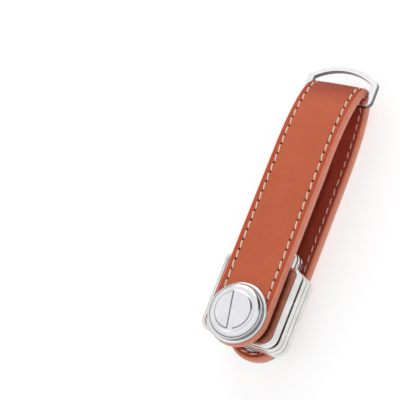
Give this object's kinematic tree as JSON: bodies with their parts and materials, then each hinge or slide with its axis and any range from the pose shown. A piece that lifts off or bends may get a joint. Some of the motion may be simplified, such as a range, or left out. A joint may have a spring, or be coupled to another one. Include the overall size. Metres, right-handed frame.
{
  "type": "key organiser",
  "caption": "Folded leather strap that holds flat keys on a coin-slotted screw post, with a D-ring in the fold; each key swings out from between the leather sides.",
  "frame": {"origin": "where the axis of the screw post meets the flat face of the rear head that the organiser lies on", "axes": "+Z along the post towards the slotted knob, +X along the strap towards the D-ring"},
  "size_m": [0.1005, 0.0266, 0.0249],
  "materials": {
    "tan_leather": "smooth-grain tan leather with painted edges and cream stitching",
    "dark_lining": "dark red-brown leather lining",
    "polished_steel": "polished",
    "nickel_key": "nickel plated, milled grooves",
    "spring_steel": "satin",
    "black_nylon": "matt"
  },
  "bodies": {
    "strap": {"strap_leather": "tan_leather", "strap_lining": "dark_lining", "front_eyelet": "polished_steel", "rear_eyelet": "polished_steel", "front_clinch_washer": "polished_steel", "rear_clinch_washer": "polished_steel", "rear_post": "polished_steel", "spring_washer": "spring_steel", "back_spacer": "black_nylon", "key_spacer_1": "black_nylon", "key_spacer_2": "black_nylon", "key_spacer_3": "black_nylon"},
    "ring": {"d_ring": "polished_steel"},
    "key_1": {"key_1": "nickel_key"},
    "key_2": {"key_2": "nickel_key"},
    "key_3": {"key_3": "nickel_key"},
    "key_4": {"key_4": "nickel_key"},
    "washer": {"knob_washer": "black_nylon"},
    "screw": {"front_screw": "polished_steel"}
  },
  "joints": [
    {"name": "key_1_swing", "type": "hinge", "parent": "strap", "child": "key_1", "pos_m": [0, 0, 0.0161], "axis": [0, 0, 1], "continuous": true},
    {"name": "key_2_swing", "type": "hinge", "parent": "strap", "child": "key_2", "pos_m": [0, 0, 0.0124], "axis": [0, 0, 1], "continuous": true},
    {"name": "key_3_swing", "type": "hinge", "parent": "strap", "child": "key_3", "pos_m": [0, 0, 0.0097], "axis": [0, 0, 1], "continuous": true},
    {"name": "key_4_swing", "type": "hinge", "parent": "strap", "child": "key_4", "pos_m": [0, 0, 0.007], "axis": [0, 0, 1], "continuous": true},
    {"name": "ring_swing", "type": "hinge", "parent": "strap", "child": "ring", "pos_m": [0.07858, 0, 0.0115], "axis": [0, 1, 0], "range_deg": [-80, 80]},
    {"name": "knob_lift", "type": "slide", "parent": "strap", "child": "washer", "axis": [0, 0, 1], "range_m": [0, 0.00561]},
    {"name": "screw_turn", "type": "hinge", "parent": "washer", "child": "screw", "pos_m": [0, 0, 0.0221], "axis": [0, 0, 1], "range_deg": [0, 2880]}
  ],
  "couplings": [
    {"joint": "knob_lift", "follows": "screw_turn", "m_per_rad": 0.00011141}
  ]
}
